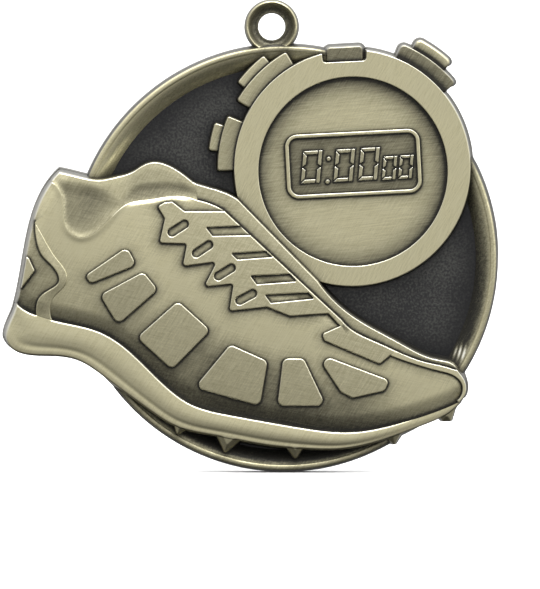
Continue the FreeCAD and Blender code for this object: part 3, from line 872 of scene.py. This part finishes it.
def bronze(name, angle, second_angle):
    """Antique bronze: brushed bright on the high parts, black patina and painted shade in the
    low ones, painted highlights on the edges.
    """
    n = Nodes(name)
    patina_and_shade, wall, edge = (n.attribute(name) for name in ("patina_and_shade", "wall", "edge"))
    along = n.noise(n.stretched((0.4, 5.6, 6.2), angle), 1.0, 3.0, 0.62)
    across = n.noise(n.stretched((0.4, 5.0, 6.8), second_angle), 1.0, 3.0, 0.62)
    both = n.value("ADD", n.value("MULTIPLY", along, 0.55), n.value("MULTIPLY", across, 0.45))
    scratches = n.spread(both, 0.33, 0.67)
    fine = n.noise(n.stretched((5.0, 5.0, 5.0), 0), 1.0, 3.0)
    cloud = n.noise(n.stretched((0.22, 0.22, 0.22), 0), 1.0, 3.0)
    streaked = n.value("ADD", 0.11, n.value("MULTIPLY", patina_and_shade, 0.28))
    grime_and_shade = n.value("ADD", patina_and_shade, n.swing(cloud, 0.12))
    grime_and_shade = n.value("ADD", grime_and_shade, n.swing(scratches, streaked))
    grime_and_shade = n.value("ADD", grime_and_shade, n.swing(fine, 0.17))
    grime_and_shade = n.value("SUBTRACT", grime_and_shade, n.value("MULTIPLY", edge, 0.25), clamp=True)
    tint = n.spread(cloud, 0.3, 0.7)
    bright = n.mix(tint, (0.560, 0.517, 0.327), (0.632, 0.583, 0.365))
    bright = n.mix(n.spread(scratches, 0.9, 0.1, 0, 0.7), bright, (0.74, 0.695, 0.475))
    dark = n.mix(fine, (0.018, 0.018, 0.017), (0.045, 0.043, 0.036))
    # edge sheen: wear and a painted highlight on the rounded edges, whitening the metal where
    # grime and shade leave it
    wear_and_sheen = n.value("MULTIPLY", edge, n.value("SUBTRACT", 1.0, grime_and_shade))
    bright = n.mix(n.value("MULTIPLY", wear_and_sheen, 0.85), bright, (0.86, 0.86, 0.83))
    steel = n.mix(fine, (0.32, 0.32, 0.32), (0.45, 0.45, 0.46))
    bright = n.mix(n.value("MULTIPLY", wall, 0.8), bright, steel)
    clean = n.value("POWER", n.value("SUBTRACT", 1.0, grime_and_shade), 2.0)
    covered = n.value("SUBTRACT", 1.0, clean)
    colour = n.mix(covered, bright, dark)
    rough = n.spread(scratches, 0.0, 1.0, 0.30, 0.42)
    rough = n.value("ADD", rough, n.value("MULTIPLY", grime_and_shade, 0.18))
    relief = n.value("ADD", n.value("MULTIPLY", scratches, 0.8), n.value("MULTIPLY", fine, 0.2))
    normal = n.bump(relief, 0.006)
    return n.finish(Base_Color=colour, Metallic=n.spread(covered, 0, 1, 1.0, 0.92),
                    Roughness=rough, Normal=normal)


def field_finish(name):
    """The recessed ground: black patina and painted shade over a fine leathery grain."""
    n = Nodes(name)
    patina_and_shade = n.attribute("patina_and_shade")
    grain = n.noise(n.stretched((1, 1, 1), 0), 3.4, 2.0, 0.5)
    cloud = n.noise(n.stretched((1, 1, 1), 0), 0.16, 2.0)
    # lighter specks on the raised grain: wear, with painted glints
    wear_and_sheen = n.spread(n.value("ADD", grain, n.value("MULTIPLY", cloud, 0.4)), 0.6, 0.95)
    wear_and_sheen = n.value("MULTIPLY", wear_and_sheen, n.value("SUBTRACT", 1.0, patina_and_shade), clamp=True)
    dark = n.mix(cloud, (0.016, 0.016, 0.017), (0.026, 0.026, 0.026))
    dark = n.mix(patina_and_shade, dark, (0.008, 0.008, 0.009))
    colour = n.mix(n.value("MULTIPLY", wear_and_sheen, 0.6), dark, (0.085, 0.085, 0.075))
    return n.finish(Base_Color=colour, Metallic=0.6, Normal=n.bump(grain, 0.05),
                    Roughness=n.spread(grain, 0.3, 0.7, 0.5, 0.42))


BRUSHED = bronze("brushed_bronze", 58, -12)
DIAL_BRUSHED = bronze("dial_bronze", 7, 58)
RING_BRUSHED = bronze("ring_bronze", 58, 72)
FIELD = field_finish("dark_field_finish")

# ---- the pieces

SPECS = {
    # node: spacing of its points, radius of its edges, material
    "shoe_upper": (0.2, 0.14, BRUSHED),
    "ankle_collar": (0.13, 0.15, BRUSHED),
    "far_side_band": (0.14, 0.15, BRUSHED),
    "shoe_sole": (0.15, 0.22, BRUSHED),
    "sole_spikes": (0.1, 0.16, BRUSHED),
    "stopwatch_case": (0.2, 0.09, RING_BRUSHED),
    "stopwatch_dial": (0.2, 0.1, DIAL_BRUSHED),
}
SPECS.update({name: (0.13, 0.15, BRUSHED) for name in BUTTONS})
SPECS.update({name: (0.13, 0.14, BRUSHED) for name in OVERLAYS})
SPECS.update(right_button_cap=(0.13, 0.3, BRUSHED), toe_guard=(0.13, 0.08, BRUSHED),
             display_frame=(0.1, 0.11, RING_BRUSHED), display_digits=(0.07, 0.07, RING_BRUSHED))

for node, (spacing, edge, material) in SPECS.items():
    piece = build_piece(node, spacing, edge)
    around = piece.outline.points
    if node in OVERLAYS:
        piece.stand(np.minimum(arch(around), upper_surface(around)) - 0.12, 0.1, material)
    elif node in ON_DIAL:
        piece.stand(top_of("stopwatch_dial") - 0.1, 0.06, material)
    else:
        piece.stand(PLATE - ROOT, exposed_spread(piece), material)

LYING = [name for name in OVERLAYS if name != "heel_strap"]
# patina and painted shade: darkened piece, the taller ones, line, its width, soft band, its
# reach, where
halo("shoe_upper", LYING, 0.92, 0.23, 0.32, 1.1, mostly_below)
halo("shoe_upper", ["lace_panel"], 0, 0.2, 0.35, 0.45)
halo("shoe_upper", ["heel_strap"], 0.85, 0.22, 0.3, 1.0, heelwards)
halo("shoe_upper", ["shoe_sole"], 0.6, 0.35, 0.8, welt_reach)
halo("stopwatch_dial", ["stopwatch_case"], 0.5, 0.35, 0.68, 1.7, less_above_right)
halo("stopwatch_dial", ["display_frame"], 1.0, 0.22, 0.35, 0.8, mostly_below)
halo("stopwatch_dial", ["display_digits"], 1.0, 0.19, 0.35, 0.5)
halo("ankle_collar", ["shoe_upper"], 0.0, 0.2, 0.2, 0.7)
halo("far_side_band", ["shoe_upper"], 0.9, 0.28, 0.35, 0.6)
halo("stopwatch_case", ["far_side_band"], 0.75, 0.3, 0.3, 0.9)
halo("stopwatch_crown", ["stopwatch_case"], 1.0, 0.28, 0.3, 0.6)
for button in ("left_button", "upper_left_button"):
    halo(button + "_collar", ["stopwatch_case"], 0.85, 0.2, 0.45, 0.6)
    halo(button + "_cap", [button + "_collar"], 0.85, 0.2, 0.45, 0.5)
halo("right_button_collar", ["stopwatch_case"], 1.0, 0.55, 0.6, 1.0)
halo("right_button_cap", ["right_button_collar"], 1.0, 0.42, 0.6, 0.8)

DARKER_ALL_OVER = [
    # how much darker all over, pieces
    (0.12, PADS + ["lace_panel", "toe_patch", "left_button_collar"]),
    (0.08, ["side_pad_1", "side_pad_2", "left_button_collar"]),
    (0.45, ["stopwatch_crown"]),
    (0.17, ["far_side_band"]),
    (0.13, ["ankle_collar"]),
    (0.12, ["heel_strap", "upper_left_button_collar"]),
    (0.38, ["right_button_collar"]),
    (0.22, ["display_digits"]),
    (0.1, ["left_button_cap"]),
]
for amount, names in DARKER_ALL_OVER:
    for name in names:
        PIECES[name].darken(amount)

LESS_WEAR_AND_SHEEN = {"right_button_cap": 0.25, "heel_strap": 0.4}    # share of the bright edge left: its wear and painted highlight
LESS_WEAR_AND_SHEEN.update({name: 0.6 for name in BUTTONS[:4]})
for name, share in LESS_WEAR_AND_SHEEN.items():
    PIECES[name].wear_and_sheen *= share


def shade_upper(piece):
    """Painted shade on the upper: darker below its crown line and at the heel, with a painted
    highlight along the crown.
    """
    x = piece.points[:, 0]
    z = piece.points[:, 1]
    above = off_crown(piece.points)
    piece.darken(0.38 * smoothstep(3, 8, -above) * (0.25 + 0.75 * smoothstep(-26, -8, x)))
    piece.darken(0.1 * np.exp(-((x + 32)**2 + (z + 1)**2) / 14))
    piece.patina_and_shade -= 0.05 * np.exp(-above**2 / 9)


def shade_collar(piece):
    """Patina and painted shade in the padded opening's hollow, and a little darker on the
    tongue.
    """
    x = piece.points[:, 0]
    dent, hollow = opening(piece.points)
    piece.darken((0.5 * dent + 0.34 * (1 - dent)) * hollow)
    piece.darken(0.12 * smoothstep(-22.5, -19.5, x) * (1 - smoothstep(-13.5, -11.5, x)))


def shade_dial(piece):
    """Patina and painted shade: darker inside the display's frame."""
    holes = [ring for ring in OUTLINES["display_frame"].rings if signed_area(ring) < 0]
    piece.darken(0.4, Outline(holes).signed(piece.points)[0] > 0)


shade_upper(PIECES["shoe_upper"])
shade_collar(PIECES["ankle_collar"])
shade_dial(PIECES["stopwatch_dial"])
for piece in PIECES.values():
    finish_piece(piece)

# ---- the rim, the loop, the plate and its field

WHEEL_STEP = 0.22        # length of one facet on the outside of a wheel


def wheel(name, node, profile, centre, start, end, material, patina_and_shade, walls, closed,
          wear_and_sheen=lambda angle: 0.0):
    """A profile of (radius, height) swept round an axis between two angles."""
    count = max(24, int((end - start) * max(r for r, _ in profile) / WHEEL_STEP))
    angles = np.linspace(start, end, count + 1)
    if closed:
        angles = angles[:-1]
    rings = len(angles)
    rows = len(profile)
    radius, height = np.tile(profile, (rings, 1)).T
    turn = np.repeat(angles, rows)
    verts = np.c_[centre[0] + radius * np.cos(turn), -height, centre[1] + radius * np.sin(turn)]
    row = np.arange(rows)
    after = np.roll(row, -1)
    faces = []
    for ring in range(rings if closed else rings - 1):
        here = row + ring * rows
        there = row + (ring + 1) % rings * rows
        faces += np.c_[here, there, there[after]].tolist()
        faces += np.c_[here, there[after], here[after]].tolist()
    if not closed:
        faces.append(list(range(rows)))
        faces.append(list(range(rings * rows - 1, (rings - 1) * rows - 1, -1)))
    patina_and_shade = np.concatenate([patina_and_shade(angle) for angle in angles])
    wear_and_sheen_rows = np.concatenate([wear_and_sheen(angle) + np.zeros(rows) for angle in angles])
    make_object(name, node, verts, faces, patina_and_shade, np.tile(walls, rings), wear_and_sheen_rows, material, 40)


def rim_arcs():
    """Start and end angle of every stretch of the raised rim."""
    points, _ = node_triangles("raised_rim")
    crest = points[points[:, 1] > top_of("raised_rim") - 0.02]
    angle = np.sort(np.arctan2(crest[:, 2], crest[:, 0]))
    gap = np.diff(np.r_[angle, angle[0] + 2 * math.pi])
    breaks = np.flatnonzero(gap > math.radians(5))
    arcs = []
    for index, here in enumerate(breaks):
        start = angle[(here + 1) % len(angle)]
        end = angle[breaks[(index + 1) % len(breaks)]]
        if end < start:
            end += 2 * math.pi
        arcs.append((start, end))
    return arcs


RIM_TOP = top_of("raised_rim")
RIM_FOOT = 25.2                 # radius where the rim's hollow rises from the field
HOLLOW_WIDE = 2.0
BEAD_RADIUS = 27.55             # of the circle along the bead's crest
BEAD_HALF = 0.35                # half the bead's width
BEAD_RELIEF = 0.18
HOLLOW_ROWS = 18
BEAD_ROWS = 11
EXTEND = math.radians(1.3)      # each arc runs on this far into its neighbours
hollow_share = np.linspace(0, 1, HOLLOW_ROWS)
hollow_rise = 0.35 * hollow_share + 0.65 * np.sin(hollow_share * math.pi / 2)
rim_profile = [(RIM_FOOT + HOLLOW_WIDE * share,
                PLATE - ROOT + (RIM_TOP - BEAD_RELIEF - PLATE) * rise)
               for share, rise in zip(hollow_share, hollow_rise)]
rim_profile += [(BEAD_RADIUS - BEAD_HALF * math.cos(turn),
                 RIM_TOP - BEAD_RELIEF + BEAD_RELIEF * math.sin(turn))
                for turn in math.pi * np.linspace(0.06, 1, BEAD_ROWS)]
rim_profile += [(28.0, 2.4), (28.12, 1.95), (28.24, PLATE - ROOT)]
rim_radius = np.array(rim_profile)[:, 0]

standing = Outline([ring for name in SHOE + WATCH + ["sole_spikes"]
                    for ring in OUTLINES[name].rings])


def foot_shade(radius, angle, reach):
    """Black next to the shoe and the stopwatch."""
    points = np.c_[radius * math.cos(angle), radius * math.sin(angle)]
    return np.exp(-np.abs(standing.signed(points)[0]) / reach)


TOE_ANGLE = min((end - start, start) for start, end in rim_arcs())[1]
ribbon_hole = next(mount for mount in frame["record"]["mounts"]
                   if mount["name"] == "ribbon_hole")
LOOP_CENTRE = [ribbon_hole["pos_m"][axis] / MM for axis in (0, 2)]
LOOP_ANGLE = math.atan2(LOOP_CENTRE[1], LOOP_CENTRE[0])


def rim_patina_and_shade(angle):
    """Patina and painted shade on the rim: dark at its foot, darker round the bottom and under
    the loop, black next to the shoe and the stopwatch.
    """
    # painted shade: the rim's lower side is darkest, as it faces away from the light
    shade = (0.5 - 0.5 * math.cos(angle - math.radians(110)))**2
    wall = (0.2 + 0.4 * shade) * (1 - hollow_share)
    wall += shade * (1.05 - 0.55 * smoothstep(0.6, 1.0, hollow_share))
    bead = 0.03 + shade * np.linspace(0.05, 0.3, BEAD_ROWS)
    # painted shade under the loop
    near_loop = np.exp(-((angle - LOOP_ANGLE) / math.radians(13))**2)
    bead += 0.35 * near_loop * np.linspace(0.1, 1, BEAD_ROWS)
    rows = np.r_[np.clip(wall, 0, 0.97), bead, 0.5 + 0.2 * shade, 0.55, 0.6]
    foot = 0.9 * foot_shade(rim_radius, angle, 0.55)
    return (1 - (1 - rows) * (1 - foot)) * (1 - glint(angle))


def glint(angle):
    """Painted reflection: bright streaks on the rim's hollow beside the shoe's toe."""
    beside = np.exp(-((angle - TOE_ANGLE - math.radians(4.5)) / math.radians(2.2))**2)
    streak = 0.55 + 0.45 * np.sin(rim_radius * 11 + angle * 60)
    in_hollow = smoothstep(25.3, 25.9, rim_radius) * (1 - smoothstep(26.9, 27.3, rim_radius))
    return beside * streak * in_hollow


RIM_WALLS = [0.0] * (HOLLOW_ROWS + BEAD_ROWS) + [0.7, 1.0, 1.0]
for number, (start, end) in enumerate(rim_arcs(), 1):
    wheel(f"raised_rim_arc_{number}", "raised_rim", rim_profile, (0, 0), start - EXTEND,
          end + EXTEND, BRUSHED, rim_patina_and_shade, RIM_WALLS, False, glint)

loop_profile = [(1.87, 0.03), (3.48, 0.03), (3.6, 0.08), (3.63, 0.18), (3.55, 0.7), (3.45, 1.5),
                (3.4, 2.1), (3.32, 2.33), (3.2, 2.4), (3.08, 2.33), (2.95, 2.15), (2.75, 1.8),
                (2.5, 1.5), (2.2, 1.34), (2.05, 1.32), (1.95, 1.36), (1.85, 1.34), (1.79, 1.26),
                (1.77, 1.15), (1.77, 0.14), (1.8, 0.06)]
# patina and painted shade for each row of the loop's profile, darkest down the funnel to the
# hole
loop_patina_and_shade = [0.3, 0.3, 0.3, 0.4, 0.5, 0.5, 0.35, 0.2, 0.14, 0.3, 0.42, 0.55, 0.66, 0.72, 0.7,
               0.6, 0.6, 0.7, 0.6, 0.5, 0.4]
loop_walls = [0.5] * 6 + [0.0] * 15
wheel("ribbon_loop_ring", "ribbon_loop", loop_profile, LOOP_CENTRE, 0, 2 * math.pi, BRUSHED,
      lambda angle: loop_patina_and_shade, loop_walls, True)


def plate_outline():
    """The backing plate's outline, drawn in under the walls that are nearly upright."""
    rings = [resampled(ring, PLATE_STEP) for ring in front_loops("backing_plate")]
    whole = Outline([ring for ring in rings if abs(signed_area(ring)) > 1])
    tucked = whole.points - 0.46 * steep(whole)[:, None] * whole.outward
    return Outline([tucked[start:end] for start, end in whole.spans])


outline = plate_outline()
points, triangles = plan_mesh(outline, 0.5, 0.1)
plate = Piece("backing_plate", outline, points, triangles, flat(PLATE)(points))
plate.stand(0.0, PLATE * DRAFT, BRUSHED)
plate.darken(0.9)
finish_piece(plate)

FIELD_INNER = 0.3
FIELD_OUTER = 26.3       # under the rim's hollow
field_profile = [(radius, PLATE + 0.01) for radius in np.linspace(FIELD_INNER, FIELD_OUTER, 60)]
field_profile += [(FIELD_OUTER, PLATE - 0.1), (FIELD_INNER, PLATE - 0.1)]
field_radius = np.array(field_profile)[:, 0]


def field_patina_and_shade(angle):
    """Patina and painted shade: black at the foot of the rim, of the shoe and of the stopwatch,
    reaching farther low down.
    """
    low_down = smoothstep(-5, -22, field_radius * math.sin(angle))
    near_wall = foot_shade(field_radius, angle, 0.7 + 3 * low_down)
    return 1 - (1 - 0.9 * smoothstep(21, FIELD_OUTER, field_radius)) * (1 - near_wall)


wheel("recessed_field", "backing_plate", field_profile, (0, 0), 0, 2 * math.pi, FIELD,
      field_patina_and_shade, [0.0] * len(field_profile), True)

# ---- light, floor, camera

scene = bpy.context.scene
scene.view_settings.view_transform = "Standard"
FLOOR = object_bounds()[0].z                 # the floor touches the medal's lowest point
DISTANCE = 0.6                           # from the camera to the point it looks at
AIM = Vector((-1.87, -2.0, -4.74)) * MM
VIEW_WIDE = 77.7 * MM                    # seen at that distance
ELEVATION = math.radians(2.5)


def placed(name, data, place=(0, 0, 0), facing=None):
    """A new object in the scene, turned to look along a direction."""
    thing = bpy.data.objects.new(name, data)
    thing.location = place
    if facing is not None:
        thing.rotation_mode = "QUATERNION"
        thing.rotation_quaternion = facing.to_track_quat("-Z", "Y")
    scene.collection.objects.link(thing)
    return thing


def softbox(name, place, power):
    """A square area light that faces the medal."""
    light = bpy.data.lights.new(name, "AREA")
    light.size = 0.6
    light.energy = power
    placed(name, light, place, -Vector(place))


back = Vector((0, -math.cos(ELEVATION), math.sin(ELEVATION)))
camera = placed("camera", bpy.data.cameras.new("camera"), AIM + back * DISTANCE, -back)
camera.data.lens = camera.data.sensor_width * DISTANCE / VIEW_WIDE
camera.data.clip_start = 0.01
scene.camera = camera

# a floor that curves up into a backdrop
floor_mesh = bpy.data.meshes.new("floor")
sweep = [(-2.0, 0.0)] + [(0.4 + 0.3 * math.sin(a), 0.3 - 0.3 * math.cos(a))
                         for a in np.linspace(0, math.pi / 2, 16)] + [(0.7, 2.0)]
floor_points = [(x, y, FLOOR + z) for y, z in sweep for x in (-2.0, 2.0)]
floor_faces = [(2 * k, 2 * k + 1, 2 * k + 3, 2 * k + 2) for k in range(len(sweep) - 1)]
floor_mesh.from_pydata(floor_points, [], floor_faces)
floor_mesh.shade_smooth()
floor_mesh.materials.append(Nodes("pale_floor").finish(Base_Color=(0.92, 0.92, 0.92),
                                                       Roughness=0.9))
floor = placed("floor", floor_mesh)
floor.visible_glossy = False

softbox("top_light", (0.1, -0.3, 0.75), 7)
softbox("right_light", (0.75, -0.55, 0.25), 2)

# the medal mirrors a room that is dark below and bright above; the camera sees white
ROOM = [(0.0, 0.02), (0.22, 0.12), (0.35, 0.45), (0.48, 0.66), (0.61, 0.82), (0.74, 1.0),
        (0.86, 1.9), (1.0, 3.6)]         # height, from below to above, and brightness
world = bpy.data.worlds.new("studio")
world.use_nodes = True
scene.world = world
nodes = world.node_tree.nodes
join = world.node_tree.links.new
direction = nodes.new("ShaderNodeTexCoord")
split = nodes.new("ShaderNodeSeparateXYZ")
ranged = nodes.new("ShaderNodeMapRange")
ranged.inputs["From Min"].default_value = -1
ramp = nodes.new("ShaderNodeValToRGB")
steps = ramp.color_ramp.elements
while len(steps) < len(ROOM):
    steps.new(0.5)
for element, (where, level) in zip(steps, ROOM):
    element.position = where
    element.color = (level, level, level, 1)
paths = nodes.new("ShaderNodeLightPath")
chosen = nodes.new("ShaderNodeMix")
chosen.data_type = "RGBA"
MIX_ROOM, MIX_WHITE, MIX_COLOUR = 6, 7, 2        # the colour sockets of a mix node
chosen.inputs[MIX_WHITE].default_value = (1, 1, 1, 1)
join(direction.outputs["Generated"], split.inputs[0])
join(split.outputs["Z"], ranged.inputs["Value"])
join(ranged.outputs[0], ramp.inputs[0])
join(paths.outputs["Is Camera Ray"], chosen.inputs[0])
join(ramp.outputs[0], chosen.inputs[MIX_ROOM])
join(chosen.outputs[MIX_COLOUR], nodes["Background"].inputs[0])
